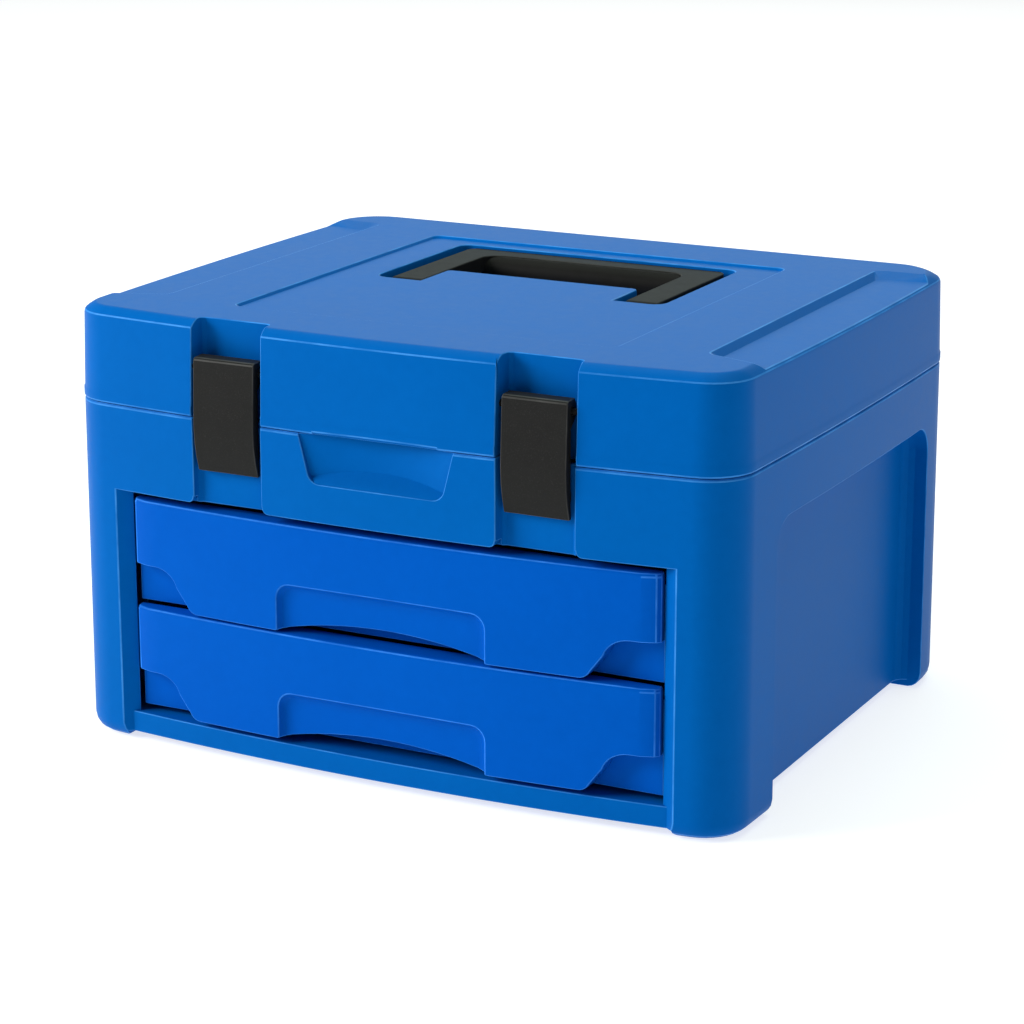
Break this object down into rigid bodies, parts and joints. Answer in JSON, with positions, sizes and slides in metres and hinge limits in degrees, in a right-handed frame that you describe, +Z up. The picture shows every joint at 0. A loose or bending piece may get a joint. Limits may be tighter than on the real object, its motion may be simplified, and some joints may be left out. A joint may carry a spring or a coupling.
{
  "type": "parts organizer",
  "caption": "Carrying case with a hinged lid over a top compartment, pull-out drawers in a framed bay, snap latches and a folding handle.",
  "frame": {"origin": "bottom centre of the bounding box, on the plane the feet stand on", "axes": "+Z up, the drawers face -Y, +X to the right of someone facing the drawers"},
  "size_m": [0.4046, 0.3483, 0.2463],
  "materials": {
    "case_plastic": "finely grained moulded plastic",
    "drawer_plastic": "finely grained moulded plastic, brighter than the case",
    "black_plastic": "satin moulded plastic",
    "pin_steel": "drawn steel pin"
  },
  "bodies": {
    "case": {"case_shell": "case_plastic", "compartment_floor": "case_plastic", "bay_liner_left": "case_plastic", "bay_liner_right": "case_plastic", "runner_lower_left": "black_plastic", "runner_lower_right": "black_plastic", "runner_upper_left": "black_plastic", "runner_upper_right": "black_plastic", "hinge_pin_left": "pin_steel", "hinge_pin_right": "pin_steel"},
    "lid": {"lid_shell": "case_plastic", "latch_pin_left": "black_plastic", "latch_pin_right": "black_plastic", "handle_pin_left": "pin_steel", "handle_pin_right": "pin_steel"},
    "latch_left": {"latch_left": "black_plastic"},
    "latch_right": {"latch_right": "black_plastic"},
    "handle": {"handle": "black_plastic"},
    "drawer_lower": {"drawer_front_lower": "drawer_plastic", "drawer_tray_lower": "drawer_plastic", "divider_lower_1": "drawer_plastic", "divider_lower_2": "drawer_plastic", "divider_lower_3": "drawer_plastic"},
    "drawer_upper": {"drawer_front_upper": "drawer_plastic", "drawer_tray_upper": "drawer_plastic", "divider_upper_1": "drawer_plastic", "divider_upper_2": "drawer_plastic", "divider_upper_3": "drawer_plastic"}
  },
  "joints": [
    {"name": "lid_hinge", "type": "hinge", "parent": "case", "child": "lid", "pos_m": [0, 0.1697, 0.1934], "axis": [-1, 0, 0], "range_deg": [0, 100]},
    {"name": "latch_left_hinge", "type": "hinge", "parent": "lid", "child": "latch_left", "pos_m": [-0.0925, -0.1654, 0.221], "axis": [-1, 0, 0], "range_deg": [0, 95]},
    {"name": "latch_right_hinge", "type": "hinge", "parent": "lid", "child": "latch_right", "pos_m": [0.0925, -0.1654, 0.221], "axis": [-1, 0, 0], "range_deg": [0, 95]},
    {"name": "handle_hinge", "type": "hinge", "parent": "lid", "child": "handle", "pos_m": [0, -0.001, 0.236], "axis": [1, 0, 0], "range_deg": [0, 90]},
    {"name": "drawer_lower_slide", "type": "slide", "parent": "case", "child": "drawer_lower", "axis": [0, -1, 0], "range_m": [0, 0.2]},
    {"name": "drawer_upper_slide", "type": "slide", "parent": "case", "child": "drawer_upper", "axis": [0, -1, 0], "range_m": [0, 0.2]}
  ]
}
